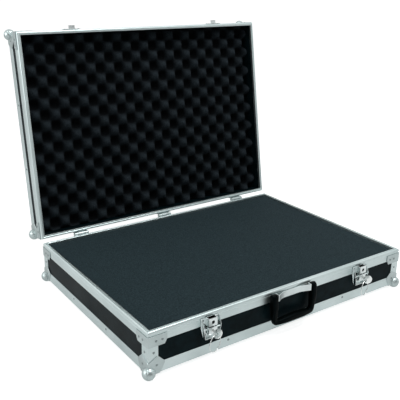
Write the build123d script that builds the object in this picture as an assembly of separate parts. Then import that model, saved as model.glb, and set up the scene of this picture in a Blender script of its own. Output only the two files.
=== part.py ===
from build123d import *
import os
from math import atan2, cos, radians, sin, tan

# Guitar pedal case: a shallow plywood case edged in aluminium, with a hinged lid that stands open.
# Millimetres. The case frame has x = 0 at the middle of the width, y = 0 at the front face,
# and z = 0 under the bottom edging. "out" is the distance a piece stands out of the front face.

# Case
WIDTH = 690.0            # over the edging, left to right
DEPTH = 488.0            # over the edging, front to back
BASE_HEIGHT = 89.0       # bottom edging to rim
LID_HEIGHT = 61.0        # top edging to rim
OPEN_ANGLE = 99.0        # the lid leans back onto its stops
RIM_GAP = 0.4            # between the two rims when the lid is shut

# Plywood and edging
METAL = 1.3              # thickness of the edging
PLY = 6.5                # thickness of the panels
ANGLE_LEG = 22.0         # leg of the edge angles
FLANGE = 23.8            # outer flange of the rim extrusion
FLANGE_SETBACK = 0.4     # flange face, behind the face of the rim's head
HEAD = 6.8               # height of the rim's head above the flange face
HEAD_ROUND = 2.4         # rounding of the head's outer edge
PLY_TO_RIM = 4.0         # top edge of a panel, below the rim
INNER_FLANGE = 0.8
INNER_FLANGE_HEIGHT = 8.0
RIM_WIDTH = METAL + PLY + INNER_FLANGE
GROOVE_WIDTH = 3.2
GROOVE_DEPTH = 2.6
GROOVE_CENTRE = 4.5      # from the outer face
TONGUE_WIDTH = 1.8
TONGUE_HEIGHT = 2.0

# Foam
FOAM_GAP = 1.6           # around the foam, to the plywood
BASE_FOAM_DROP = 4.5     # top of the base foam, below the rim
LID_FOAM = 32.0          # thickness of the lid foam over its peaks
CRATE_DEPTH = 21.0       # height of the bumps of the egg-crate face
CRATE_PITCH = (25.94, 26.44)     # half the way from peak to peak, across and along
CRATE_PEAK = (-235.7, 225.1)     # one of the peaks
CRATE_TURN = 1.55        # the pattern lies a little askew
CRATE_FOOT = (24.4, 24.8)
CRATE_TOP = (8.0, 8.0)

# Corner fittings
SKIN = 1.2               # thickness of the pressed steel
BALL_RADIUS = 13.0
BALL_INSET = 3.0         # ball centre, inside the three faces
BALL_FLAT = 9.4          # worn flat under the ball, below the bottom edging
BALL_SEAM = 1.0          # width and depth of the pressed seams between the ball's lobes
BALL_TURN = (17.0, 23.0, 11.0)   # keeps the sphere's own poles away from the seams
PETAL = [(-SKIN, -SKIN), (25.5, -SKIN), (37.0, 20.5), (20.5, 37.0), (-SKIN, 25.5)]
PETAL_ROUND = 3.0
PETAL_RIVET = 18.0       # along and across from the corner
BRACE_LENGTH = 41.0
BRACE_NOTCH = 5.0
BRACE_RIVETS = (17.0, 30.5)
BASE_BRACE_BAND = (9.5, 31.5)    # below the rim
LID_BRACE_BAND = (8.0, 23.5)

# Rivets
RIVET_HEAD = 2.6
RIVET_HEIGHT = 1.1
RIVET_SHANK = 1.6
RIVET_GRIP = 5.0
EDGE_RIVET = 15.0        # height of the edging's rivets above the edge
FRONT_RIVETS = (-161.0, 0.0, 161.0)
SIDE_RIVETS = (-77.0, 77.0)

# Hinges
HINGE_PITCH = 243.0
HINGE_WIDTH = 36.0
HINGE_LEAF = 2.1
HINGE_LEAF_HEIGHT = 34.0
HINGE_OFFSET = 5.5       # axis, behind the back face
KNUCKLE_RADIUS = 5.2
LID_KNUCKLE = 17.4
KNUCKLE_GAP = 0.3
HINGE_PIN = 3.25
HINGE_RIVET_X = 12.0
HINGE_RIVET_Z = (14.0, 26.0)     # from the axis
HEEL_LENGTH = 14.0
HEEL_THICKNESS = 2.2

# Latches
LATCH_X = 208.0
LATCH_METAL = 1.2
PLATE_HALF = 21.0
PLATE_OUTLINE = [(-15, 38), (15, 38), (21, 62), (21, 82), (-21, 82), (-21, 62)]    # x, z
PLATE_LOW = 38.0
PLATE_WALL = [(0, 82), (3, 82), (11, 64), (11, 56), (9, 42), (8, 38), (0, 38)]    # out, z
PLATE_RIVETS = [(-16.6, 77.0), (16.6, 77.0), (-11.0, 45.0), (11.0, 45.0)]    # x, z
COVER_HALF = 10.0
COVER_LOW = 66.6
COVER_HIGH = 82.9
COVER_OUT = 12.4
COVER_HOLE = 3.5
COVER_HOLE_Z = 74.5
CLAW_HALF = 8.0
CLAW_HOLE = 4.0
CLAW_OUT = 9.7           # inner face of the claw's front plate
CLAW_TOP = 81.0
CLAW_STEP = 68.0
CLAW_LOW = 46.0
CLAW_BACK = 3.0          # inner face of the claw's back plate
CLAW_HOOK = 6.3
LEVER_HALF = 10.0
LEVER_PIVOT = (8.0, 60.0)        # out, z
LEVER_OUT = 12.4
LEVER_LOW = 49.5
LEVER_HIGH = 64.2
LEVER_WALL_OUT = 5.0
LEVER_LIP = 1.2
TRUNNION = 1.5
RUNNING = 0.05           # radial clearance of what turns
LOCK_Z = 57.0
PLUG_RADIUS = 4.2
PLUG_BACK = 8.0
PLUG_FACE = 13.2
PLUG_FLANGE = 5.5
KEY_BLADE = (1.4, 4.4)           # thickness, height
KEY_BLADE_BACK = 9.0
KEY_BOW = (10.5, 10.0)           # half length, half height
KEY_BOW_OUT = 27.1
KEY_THICKNESS = 1.5
KEY_HOLE = (23.6, 4.4, 3.6)      # out, below the lock's axis on an upright key, radius
KEY_TURN = 45.0          # about the lock's axis, top of the key to the right
RING_RADIUS = 17.5
RING_WIRE = 1.0
RING_PLAY = 0.2          # the wire's centre lies below the hole's
RING_TURN = 18.0         # about the upright, right hand side nearer the case

# Keepers on the lid
KEEPER_HALF = 23.0
KEEPER_BAND = (1.0, 13.0)        # above the lid's rim
KEEPER_HOOK_HALF = 8.0
KEEPER_HOOK_OUT = 9.2
KEEPER_HOOK_BAND = (2.0, 8.5)
KEEPER_RIVET_X = 18.5

# Handle
HANDLE_PIVOT = (9.5, 78.0)       # out, z
HANDLE_PIN = 2.5
PIN_REACH = (44.5, 57.0)         # x of the two ends of each pin
STRAP_METAL = 1.5
STRAP_BEND = 20.0        # half length of the flat middle, riveted to the rim's flange
STRAP_END = (46.4, 16.5)         # x and out of the strap's outer corners
STRAP_TAB = 5.0          # out of the edge of the tab bent back at each end
STRAP_BAND = (68.1, 81.6)        # in the middle
STRAP_RISE = 3.4         # the ends stand higher than the middle
STRAP_RIVETS = [(-14.0, 74.8), (14.0, 74.8)]
STRAP_ROUND = 14.0       # of the bends beside the flat middle
ARM_EYE = 8.5            # radius of the round end of each arm
ARM_HALF = 61.0          # over both arms, at the eyes
ARM_INNER = 47.0
BAR_HALF = 56.0          # at the lowest line of the bar
BAR_LOW = 17.5
BAR_TOP = (26.0, 32.0)   # upper edge of the bar, beside the arms and in the middle
BAR_BACK = 5.5
BAR_FRONT = 21.5         # in the middle
BAR_BOW = 8.0            # how far the front falls back from the middle to the ends
BAR_LEAN = 0.11          # slope of the bowed front over its height
BAR_CORNER = 11.0
BAR_INNER_CORNER = 6.0
BAR_SOFT = 4.5
SHOULDER = 66.0          # where the arms stop tapering

CLEAR = 400.0            # reach of a cutting solid
HINGE_AXIS = (DEPTH + HINGE_OFFSET, BASE_HEIGHT)


def block(x, y, z):
    """A box between two x, two y and two z values."""
    size = Box(x[1] - x[0], y[1] - y[0], z[1] - z[0])
    return Pos((x[0] + x[1]) / 2, (y[0] + y[1]) / 2, (z[0] + z[1]) / 2) * size


def along_x(points, x):
    """An outline in y and z, carried from one x to another."""
    face = make_face(Plane.YZ * Polyline(*points, close=True))
    return Pos(x[0], 0, 0) * extrude(face, amount=x[1] - x[0], dir=(1, 0, 0))


def outward(points, out):
    """An outline in x and z on the front face, carried from one distance out to another."""
    plane = Plane(origin=(0, -out[0], 0), x_dir=(1, 0, 0), z_dir=(0, -1, 0))
    return extrude(plane * make_face(Polyline(*points, close=True)), amount=out[1] - out[0], dir=(0, -1, 0))


def rod_x(radius, centre, x):
    """A round bar along x; centre is its distance out and its height."""
    plane = Plane(origin=(x[0], -centre[0], centre[1]), z_dir=(1, 0, 0))
    return extrude(plane * Circle(radius), amount=x[1] - x[0])


def rod_out(radius, x, z, out):
    """A round bar that points out of the front face."""
    plane = Plane(origin=(x, -out[0], z), z_dir=(0, -1, 0))
    return extrude(plane * Circle(radius), amount=out[1] - out[0])


def beside(points, x):
    """An outline in distance out and z, carried from one x to another."""
    return along_x([(-out, z) for out, z in points], x)


# Trays: the base, and the lid upside down

def tray_panels(height):
    """The large panel with four walls standing on it, front and back walls full width."""
    half = WIDTH / 2 - METAL
    back = DEPTH - METAL
    floor = METAL + PLY
    top = height - PLY_TO_RIM
    return {
        "outer_panel": block((-half, half), (METAL, back), (METAL, floor)),
        "front_panel": block((-half, half), (METAL, floor), (floor, top)),
        "back_panel": block((-half, half), (back - PLY, back), (floor, top)),
        "left_panel": block((-half, PLY - half), (floor, back - PLY), (floor, top)),
        "right_panel": block((half - PLY, half), (floor, back - PLY), (floor, top)),
    }


def tray_foam(bottom, top):
    """A foam block that fills the tray between two heights."""
    wall = METAL + PLY + FOAM_GAP
    return block((wall - WIDTH / 2, WIDTH / 2 - wall), (wall, DEPTH - wall), (bottom, top))


def crate_foam():
    """The lid foam: a slab with blunt bumps in staggered rows, cut off at the walls."""
    floor = METAL + PLY
    low = floor + LID_FOAM - CRATE_DEPTH
    high = floor + LID_FOAM
    foot = Pos(0, 0, low) * Rectangle(*CRATE_FOOT)
    bump = loft([foot, Pos(0, 0, high) * Rectangle(*CRATE_TOP)])
    rows = int(WIDTH / CRATE_PITCH[1])
    pattern = Pos(*CRATE_PEAK) * Rot(0, 0, CRATE_TURN)
    bumps = []
    for row in range(-rows, rows):
        for column in range(-rows, rows):
            spot = pattern * Pos(row * CRATE_PITCH[0], column * CRATE_PITCH[1])
            inside = abs(spot.position.X) < (WIDTH + CRATE_FOOT[0]) / 2 and 0 < spot.position.Y < DEPTH
            if inside and (row + column) % 2 == 0:
                bumps.append(spot * bump)
    bumps = [piece & tray_foam(low, high) for piece in bumps]
    slab = tray_foam(floor, low)
    return slab.fuse(*[piece for piece in bumps if piece])


def mitred(outline, length):
    """A bar along the front edge, cut at 45 degrees in plan at both ends."""
    half = length / 2
    bar = along_x(outline, (-half, half))
    inner = half - 2 * ANGLE_LEG
    plan = Polyline((-half, 0), (half, 0), (inner, 2 * ANGLE_LEG), (-inner, 2 * ANGLE_LEG), close=True)
    return bar & Pos(0, 0, -CLEAR / 2) * extrude(make_face(plan), amount=CLEAR, dir=(0, 0, 1))


def four_sides(outline):
    """One mitred bar on each side of the tray."""
    long_bar = mitred(outline, WIDTH)
    short_bar = mitred(outline, DEPTH)
    return {
        "front": long_bar,
        "back": Pos(0, DEPTH, 0) * Rot(0, 0, 180) * long_bar,
        "left": Pos(-WIDTH / 2, DEPTH / 2, 0) * Rot(0, 0, -90) * short_bar,
        "right": Pos(WIDTH / 2, DEPTH / 2, 0) * Rot(0, 0, 90) * short_bar,
    }


def four_corners(shape):
    """Copies of a front left corner piece at the four corners."""
    half = WIDTH / 2
    corners = ((-half, 0), (half, 0), (half, DEPTH), (-half, DEPTH))
    return [Pos(x, y, 0) * Rot(0, 0, 90 * turn) * shape for turn, (x, y) in enumerate(corners)]


def edge_angle_outline():
    leg = ANGLE_LEG
    return [(0, 0), (leg, 0), (leg, METAL), (METAL, METAL), (METAL, leg), (0, leg)]


def corner_angle(height):
    """Upright angle between the edge angles and the rim."""
    leg = ANGLE_LEG
    plan = Polyline((0, 0), (leg, 0), (leg, METAL), (METAL, METAL), (METAL, leg), (0, leg), close=True)
    return Pos(0, 0, leg) * extrude(make_face(plan), amount=height - FLANGE - leg, dir=(0, 0, 1))


def rim_outline(height, tongue):
    """Section of the rim extrusion; the base has a groove and the lid a tongue that enters it."""
    flange_low = height - FLANGE
    head_low = height - HEAD
    inner_low = height - INNER_FLANGE_HEIGHT
    ply_top = height - PLY_TO_RIM
    if tongue:
        middle = [
            (GROOVE_CENTRE - TONGUE_WIDTH / 2, height),
            (GROOVE_CENTRE - TONGUE_WIDTH / 2, height + TONGUE_HEIGHT),
            (GROOVE_CENTRE + TONGUE_WIDTH / 2, height + TONGUE_HEIGHT),
            (GROOVE_CENTRE + TONGUE_WIDTH / 2, height),
        ]
    else:
        middle = [
            (GROOVE_CENTRE - GROOVE_WIDTH / 2, height),
            (GROOVE_CENTRE - GROOVE_WIDTH / 2, height - GROOVE_DEPTH),
            (GROOVE_CENTRE + GROOVE_WIDTH / 2, height - GROOVE_DEPTH),
            (GROOVE_CENTRE + GROOVE_WIDTH / 2, height),
        ]
    steps = 5
    turns = [radians(90 * step / steps) for step in range(steps + 1)]
    rounding = [
        (HEAD_ROUND - HEAD_ROUND * cos(turn), height - HEAD_ROUND + HEAD_ROUND * sin(turn)) for turn in turns
    ]
    return [
        (FLANGE_SETBACK, flange_low),
        (FLANGE_SETBACK, head_low - FLANGE_SETBACK),
        (0, head_low),
        *rounding,
        *middle,
        (RIM_WIDTH, height),
        (RIM_WIDTH, inner_low),
        (RIM_WIDTH - INNER_FLANGE, inner_low),
        (RIM_WIDTH - INNER_FLANGE, ply_top),
        (METAL, ply_top),
        (METAL, flange_low),
    ]


def swapped(shape, first, second):
    """The mirror image that swaps two axes, such as "x" and "y"."""
    normal = {"x": (1, 0, 0), "y": (0, 1, 0), "z": (0, 0, 1)}
    across = [one - other for one, other in zip(normal[first], normal[second])]
    return mirror(shape, about=Plane(origin=(0, 0, 0), z_dir=across))


def ball_corner():
    """Pressed corner: three riveted petals on the faces, and a ball of three lobes over the point."""
    outline = make_face(Polyline(*PETAL, close=True))
    tips = outline.vertices().sort_by(lambda vertex: vertex.X + vertex.Y)[-2:]
    under = Pos(0, 0, -SKIN) * extrude(fillet(tips, PETAL_ROUND), amount=SKIN, dir=(0, 0, 1))
    centre = (BALL_INSET, BALL_INSET, BALL_INSET)
    ball = Pos(*centre) * Rot(*BALL_TURN) * Sphere(BALL_RADIUS)
    seam = Cylinder(BALL_RADIUS + 1, BALL_SEAM) - Cylinder(BALL_RADIUS - BALL_SEAM, BALL_SEAM)
    for normal in ((1, -1, 0), (0, 1, -1), (1, 0, -1)):
        ball -= Plane(origin=centre, z_dir=normal) * seam
    ball -= block((-CLEAR, CLEAR), (-CLEAR, CLEAR), (-CLEAR, -BALL_FLAT))
    petals = under + swapped(under, "y", "z") + swapped(under, "x", "z")
    return ball + petals - block((0, CLEAR), (0, CLEAR), (0, CLEAR))


def rim_brace(height, band):
    """Pressed brace around a rim corner, with a clipped lower end on each face."""
    top = height - band[0]
    low = height - band[1]
    end = BRACE_LENGTH
    outline = [(-SKIN, low), (end - BRACE_NOTCH, low), (end, low + 2 * BRACE_NOTCH), (end, top), (-SKIN, top)]
    front = outward(outline, (0, SKIN))
    return front + swapped(front, "x", "y")


# Rivets. Each is a place on a face: the point under the head, and the way the head faces

def rivet(place):
    point, facing = place
    head = Pos(0, 0, RIVET_HEIGHT / 2) * Cylinder(RIVET_HEAD, RIVET_HEIGHT)
    head = fillet(head.edges().sort_by(Axis.Z)[-1], RIVET_HEIGHT * 0.8)
    return Plane(origin=point, z_dir=facing) * (head + shank())


def shank():
    return Pos(0, 0, -RIVET_GRIP / 2) * Cylinder(RIVET_SHANK, RIVET_GRIP)


def on_face(side, along, z, lift):
    """A place on one side of the tray, "along" from the middle of that side, lifted off the edging."""
    if side == "front":
        return (along, -lift, z), (0, -1, 0)
    if side == "back":
        return (-along, DEPTH + lift, z), (0, 1, 0)
    if side == "left":
        return (-WIDTH / 2 - lift, DEPTH / 2 - along, z), (-1, 0, 0)
    return (WIDTH / 2 + lift, DEPTH / 2 + along, z), (1, 0, 0)


def tray_rivets(height, band):
    """Rivets of the edging, the ball corners and the rim braces of one tray."""
    brace_z = height - (band[0] + band[1]) / 2
    upright_z = (height - FLANGE + ANGLE_LEG) / 2 + METAL
    places = []
    for side in ("front", "back", "left", "right"):
        long_side = side in ("front", "back")
        edge = WIDTH / 2 if long_side else DEPTH / 2
        places += [on_face(side, along, EDGE_RIVET, 0) for along in (FRONT_RIVETS if long_side else SIDE_RIVETS)]
        for hand in (-1, 1):
            places.append(on_face(side, hand * (edge - PETAL_RIVET), PETAL_RIVET, SKIN))
            places += [on_face(side, hand * (edge - along), brace_z, SKIN) for along in BRACE_RIVETS]
            if height > LID_HEIGHT:
                places.append(on_face(side, hand * (edge - ANGLE_LEG / 2 - METAL), upright_z, 0))
    return places


def drilled(shape, places):
    """The shape with a hole for each rivet that reaches it."""
    box = shape.bounding_box()
    for point, facing in places:
        middle = [at - way * RIVET_GRIP / 2 for at, way in zip(point, facing)]
        reach = RIVET_GRIP / 2 + RIVET_SHANK
        low = (box.min.X, box.min.Y, box.min.Z)
        high = (box.max.X, box.max.Y, box.max.Z)
        if all(start - reach < at < end + reach for at, start, end in zip(middle, low, high)):
            shape -= Plane(origin=point, z_dir=facing) * shank()
    return shape


def tray(height, tongue, band, foam, more_rivets):
    """All pieces of one tray, standing on its outer face."""
    places = tray_rivets(height, band) + more_rivets
    pieces = tray_panels(height)
    pieces.update({side + "_edge_angle": bar for side, bar in four_sides(edge_angle_outline()).items()})
    pieces.update({side + "_rim": bar for side, bar in four_sides(rim_outline(height, tongue)).items()})
    pieces = {name: drilled(shape, places) for name, shape in pieces.items()}
    fittings = {"uprights": corner_angle(height), "ball_corners": ball_corner(), "rim_braces": rim_brace(height, band)}
    for name, shape in fittings.items():
        pieces[name] = Compound([drilled(copy, places) for copy in four_corners(shape)])
    pieces["rivets"] = Compound([rivet(place) for place in places])
    pieces["foam"] = foam
    return pieces


# Hinges

def hinge_places(face_z):
    """Rivets of the three leaves, at the given heights on the back."""
    lift = HINGE_LEAF
    return [
        on_face("back", hinge + across, z, lift)
        for hinge in (-HINGE_PITCH, 0, HINGE_PITCH)
        for across in (-HINGE_RIVET_X, HINGE_RIVET_X)
        for z in face_z
    ]


def hinge_leaf(up):
    """A leaf with its rolled knuckles, drawn flat on the back of the shut case."""
    axis_y, axis_z = HINGE_AXIS
    half = HINGE_WIDTH / 2
    middle = LID_KNUCKLE / 2
    way = 1 if up else -1
    near = KNUCKLE_RADIUS + KNUCKLE_GAP
    leaf_y = (DEPTH, DEPTH + HINGE_LEAF)
    spans = [(-middle, middle)] if up else [(-half, -middle - KNUCKLE_GAP), (middle + KNUCKLE_GAP, half)]
    bore = HINGE_PIN + RUNNING if up else HINGE_PIN
    heights = sorted((axis_z + way * near, axis_z + way * HINGE_LEAF_HEIGHT))
    leaf = block((-half, half), leaf_y, heights)
    for span in spans:
        leaf += block(span, leaf_y, sorted((axis_z, axis_z + way * (near + 1))))
        leaf += rod_x(KNUCKLE_RADIUS, (-axis_y, axis_z), span)
    return leaf - rod_x(bore, (-axis_y, axis_z), (-half, half))


def hinge_heel():
    """The stop under the lid's knuckle, drawn with the lid open: it meets the base leaf."""
    axis_y, axis_z = HINGE_AXIS
    face = DEPTH + HINGE_LEAF + KNUCKLE_GAP
    half = LID_KNUCKLE / 2
    tab = block((-half, half), (face, face + HEEL_THICKNESS), (axis_z - HEEL_LENGTH, axis_z))
    return tab - rod_x(HINGE_PIN + 1, (-axis_y, axis_z), (-half, half))


def hinge_pin():
    axis_y, axis_z = HINGE_AXIS
    half = HINGE_WIDTH / 2
    pin = rod_x(HINGE_PIN, (-axis_y, axis_z), (-half, half))
    for end in ((-half - 1, -half), (half, half + 1)):
        pin += rod_x(HINGE_PIN + 1, (-axis_y, axis_z), end)
    return pin


def three_hinges(shape):
    return Compound([Pos(x, 0, 0) * shape for x in (-HINGE_PITCH, 0, HINGE_PITCH)])


# Latches. Each is drawn at x = 0 and carried to its place

def latch_plate():
    """Back plate riveted to the front, with two cheeks that carry the lever, and a lip below."""
    half = PLATE_HALF
    metal = LATCH_METAL
    deepest = max(out for out, z in PLATE_WALL)
    plate = outward(PLATE_OUTLINE, (0, deepest)) & beside(PLATE_WALL, (-half, half))
    inner = [(x - metal if x > 0 else x + metal, z) for x, z in PLATE_OUTLINE]
    inner = [(x, z + metal if z == PLATE_LOW else z + (CLEAR if z == PLATE_WALL[0][1] else 0)) for x, z in inner]
    plate -= outward(inner, (metal, CLEAR))
    return plate - rod_x(TRUNNION + RUNNING, LEVER_PIVOT, (-half, half))


def latch_cover():
    """Guard over the claw: a front with two sides, open above and below, with a round eye."""
    half = COVER_HALF
    inner = half - LATCH_METAL
    body = block((-half, half), (-COVER_OUT, -LATCH_METAL), (COVER_LOW, COVER_HIGH))
    uprights = body.edges().filter_by(Axis.Z).sort_by(Axis.Y)[:2]
    body = fillet(uprights, LATCH_METAL)
    body -= block((-inner, inner), (LATCH_METAL - COVER_OUT, CLEAR), (-CLEAR, CLEAR))
    return body - rod_out(COVER_HOLE, 0, COVER_HOLE_Z, (0, CLEAR))


def latch_claw():
    """Stepped plate that slides up out of the guard and hooks over the keeper."""
    half = CLAW_HALF
    metal = LATCH_METAL
    out = CLAW_OUT + metal
    claw = block((-half, half), (-out, -CLAW_OUT), (CLAW_STEP, CLAW_TOP))
    claw += block((-half, half), (-out, -CLAW_BACK), (CLAW_STEP, CLAW_STEP + metal))
    claw += block((-half, half), (-CLAW_BACK - metal, -CLAW_BACK), (CLAW_LOW, CLAW_STEP + metal))
    claw += block((-half, half), (-out, -CLAW_HOOK), (CLAW_TOP - metal, CLAW_TOP))
    claw += block((-half, half), (-CLAW_HOOK - metal, -CLAW_HOOK), (CLAW_TOP - 3 * metal, CLAW_TOP))
    return claw - rod_out(CLAW_HOLE, 0, COVER_HOLE_Z, (CLAW_OUT - 1, CLEAR))


def latch_lever():
    """Lever that hangs from two stub axles in the cheeks, with the lock in its face."""
    half = LEVER_HALF
    inner = half - LATCH_METAL
    out, high = LEVER_PIVOT
    body = block((-half, half), (-LEVER_OUT, -LEVER_WALL_OUT), (LEVER_LOW + LEVER_LIP, LEVER_HIGH))
    body = fillet(body.edges().filter_by(Axis.Z).sort_by(Axis.Y)[:2], LATCH_METAL)
    body -= block((-inner, inner), (LATCH_METAL - LEVER_OUT, CLEAR), (-CLEAR, CLEAR))
    lip = [
        (LEVER_OUT - LATCH_METAL, LEVER_LOW + LEVER_LIP),
        (LEVER_OUT, LEVER_LOW + LEVER_LIP),
        (LEVER_OUT + LEVER_LIP, LEVER_LOW),
        (LEVER_OUT + LEVER_LIP - LATCH_METAL, LEVER_LOW),
    ]
    body += beside(lip, (-half, half))
    for stub in ((-PLATE_HALF, -inner), (inner, PLATE_HALF)):
        body += rod_x(TRUNNION, (out, high), stub)
    return body - rod_out(PLUG_RADIUS + RUNNING, 0, LOCK_Z, (0, CLEAR))


def with_key(shape):
    """From an upright key to the key as it is turned in the lock."""
    return Pos(0, 0, LOCK_Z) * Rot(0, KEY_TURN, 0) * Pos(0, 0, -LOCK_Z) * shape


def key_blade():
    thick, tall = KEY_BLADE
    front = KEY_BOW_OUT - KEY_BOW[0] + KEY_THICKNESS
    upright = block((-thick / 2, thick / 2), (-front, -KEY_BLADE_BACK), (LOCK_Z - tall / 2, LOCK_Z + tall / 2))
    return with_key(upright)


def lock_plug():
    """Turning plug of the lock, flanged behind the lever's face and slotted for the key."""
    flange_front = LEVER_OUT - LATCH_METAL - KNUCKLE_GAP
    plug = rod_out(PLUG_RADIUS, 0, LOCK_Z, (PLUG_BACK, PLUG_FACE))
    plug += rod_out(PLUG_FLANGE, 0, LOCK_Z, (flange_front - LATCH_METAL, flange_front))
    return plug - key_blade()


def key():
    """Flat key, half turned in the lock, with an oval bow and a ring hole."""
    out, drop, radius = KEY_HOLE
    half = KEY_THICKNESS / 2
    plane = Plane(origin=(-half, -KEY_BOW_OUT, LOCK_Z), x_dir=(0, 1, 0), z_dir=(1, 0, 0))
    bow = extrude(plane * Ellipse(*KEY_BOW), amount=KEY_THICKNESS, dir=(1, 0, 0))
    bow -= rod_x(radius, (out, LOCK_Z - drop), (-CLEAR, CLEAR))
    return key_blade() + with_key(bow)


def ring_top():
    """Where the wire's centre lies in the key's hole."""
    out, drop, radius = KEY_HOLE
    turn = radians(KEY_TURN)
    return Vector(-drop * sin(turn), -out, LOCK_Z - drop * cos(turn) - RING_PLAY)


def key_ring():
    centre = ring_top() - Vector(0, 0, RING_RADIUS)
    return Pos(centre) * Rot(0, 0, RING_TURN) * Rot(90, 0, 0) * Torus(RING_RADIUS, RING_WIRE)


def keeper():
    """Plate on the lid's rim with an upturned hook for the claw, drawn on the shut lid."""
    rim = BASE_HEIGHT + RIM_GAP
    low, high = [rim + z for z in KEEPER_BAND]
    hook_low, hook_high = [rim + z for z in KEEPER_HOOK_BAND]
    half = KEEPER_HOOK_HALF
    plate = block((-KEEPER_HALF, KEEPER_HALF), (-LATCH_METAL, 0), (low, high))
    plate = fillet(plate.edges().filter_by(Axis.Y), 2)
    plate += block((-half, half), (-KEEPER_HOOK_OUT, 0), (hook_low, hook_low + LATCH_METAL))
    plate += block((-half, half), (-KEEPER_HOOK_OUT, LATCH_METAL - KEEPER_HOOK_OUT), (hook_low, hook_high))
    return plate


def keeper_places(face_z):
    return [
        on_face("front", hand * LATCH_X + across, face_z, LATCH_METAL)
        for hand in (-1, 1)
        for across in (-KEEPER_RIVET_X, KEEPER_RIVET_X)
    ]


def latch_places():
    return [
        on_face("front", hand * LATCH_X + across, z, LATCH_METAL)
        for hand in (-1, 1)
        for across, z in PLATE_RIVETS
    ]


# Handle

def handle_bracket():
    """Steel strap, flat on the rim's flange in the middle, bowed out and up to a tab and a pin at each end."""
    low, high = STRAP_BAND
    back = -FLANGE_SETBACK
    end_x, end_out = STRAP_END
    turn = atan2(end_out - back - STRAP_METAL, end_x - STRAP_BEND)
    inner_x = end_x - STRAP_METAL
    inner_out = end_out - STRAP_METAL / cos(turn) - STRAP_METAL * tan(turn)
    bend = STRAP_METAL * tan(turn / 2)
    right = [(STRAP_BEND, back), (inner_x, inner_out), (inner_x, STRAP_TAB), (end_x, STRAP_TAB)]
    right += [STRAP_END, (STRAP_BEND - bend, back + STRAP_METAL)]
    plan = right + [(-x, out) for x, out in reversed(right)]
    face = make_face(Polyline(*[(x, -out) for x, out in plan], close=True))
    bends = [corner for corner in face.vertices() if abs(corner.X) < STRAP_BEND + STRAP_METAL]
    face = fillet(bends, STRAP_ROUND)
    strap = extrude(face, amount=CLEAR, dir=(0, 0, 1))
    edges = [
        ThreePointArc((-end_x, z + STRAP_RISE), (0, z), (end_x, z + STRAP_RISE))
        for z in (low, high)
    ]
    ends = [Line((hand * end_x, low + STRAP_RISE), (hand * end_x, high + STRAP_RISE)) for hand in (-1, 1)]
    front = make_face(edges + ends)
    strap = strap & extrude(Plane.XZ * front, amount=CLEAR, dir=(0, -1, 0), both=True)
    for hand in (-1, 1):
        strap += rod_x(HANDLE_PIN, HANDLE_PIVOT, sorted((hand * PIN_REACH[0], hand * PIN_REACH[1])))
    return strap


def handle_places():
    return [on_face("front", x, z, STRAP_METAL - FLANGE_SETBACK) for x, z in STRAP_RIVETS]


def handle_grip():
    """D-shaped grip: a bowed bar between two tapering arms with round eyes on the pins."""
    pivot_out, pivot_z = HANDLE_PIVOT
    side_top, middle_top = BAR_TOP
    outer = [(-BAR_HALF, BAR_LOW), (BAR_HALF, BAR_LOW), (ARM_HALF, SHOULDER), (ARM_HALF, CLEAR)]
    outer += [(-ARM_HALF, CLEAR), (-ARM_HALF, SHOULDER)]
    outline = make_face(Polyline(*outer, close=True))
    outline = fillet(outline.vertices().sort_by(Axis.Y)[:2], BAR_CORNER)
    sides = Polyline((ARM_INNER, side_top), (ARM_INNER, CLEAR), (-ARM_INNER, CLEAR), (-ARM_INNER, side_top))
    arch = ThreePointArc((-ARM_INNER, side_top), (0, middle_top), (ARM_INNER, side_top))
    window = make_face([sides, arch])
    window = fillet(window.vertices().sort_by(Axis.Y)[:2], BAR_INNER_CORNER)
    plane = Plane(origin=(0, 0, 0), x_dir=(1, 0, 0), z_dir=(0, -1, 0))
    grip = extrude(plane * (outline - window), amount=CLEAR, dir=(0, -1, 0))
    profile = [
        (BAR_BACK, BAR_LOW),
        (BAR_FRONT, BAR_LOW),
        (BAR_FRONT, middle_top),
        (pivot_out + ARM_EYE, pivot_z),
        (pivot_out - ARM_EYE, pivot_z),
        (BAR_BACK, middle_top),
    ]
    section = make_face(Plane.YZ * Polyline(*[(-out, z) for out, z in profile], close=True))
    section = fillet(section.vertices().sort_by(Axis.Z)[:2], BAR_SOFT)
    side = Pos(-ARM_HALF, 0, 0) * extrude(section, amount=2 * ARM_HALF, dir=(1, 0, 0))
    grip = grip & (side + rod_x(ARM_EYE, HANDLE_PIVOT, (-ARM_HALF, ARM_HALF)))
    ends_out = BAR_FRONT - BAR_BOW
    bow = ThreePointArc((-ARM_HALF, -ends_out), (0, -BAR_FRONT), (ARM_HALF, -ends_out))
    behind = Polyline((-ARM_HALF, -ends_out), (-ARM_HALF, CLEAR), (ARM_HALF, CLEAR), (ARM_HALF, -ends_out))
    bowed = Pos(0, 0, BAR_LOW) * extrude(make_face([bow, behind]), amount=CLEAR, dir=(0, -BAR_LEAN, 1))
    grip = grip & bowed
    for hand in (-1, 1):
        bore = sorted((hand * PIN_REACH[0], hand * (PIN_REACH[1] + KNUCKLE_GAP)))
        grip -= rod_x(HANDLE_PIN + RUNNING, HANDLE_PIVOT, bore)
    return grip


# Assembly

def lid_flipped(shape):
    """From the lid's own tray, upside down, to the shut lid."""
    return Pos(0, 0, BASE_HEIGHT + RIM_GAP + LID_HEIGHT) * mirror(shape, about=Plane.XY)


def opened(shape):
    """From the shut lid to the open lid."""
    axis_y, axis_z = HINGE_AXIS
    return Pos(0, axis_y, axis_z) * Rot(-OPEN_ANGLE, 0, 0) * Pos(0, -axis_y, -axis_z) * shape


def pair(shape, reach):
    return Compound([Pos(-reach, 0, 0) * shape, Pos(reach, 0, 0) * shape])


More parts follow.
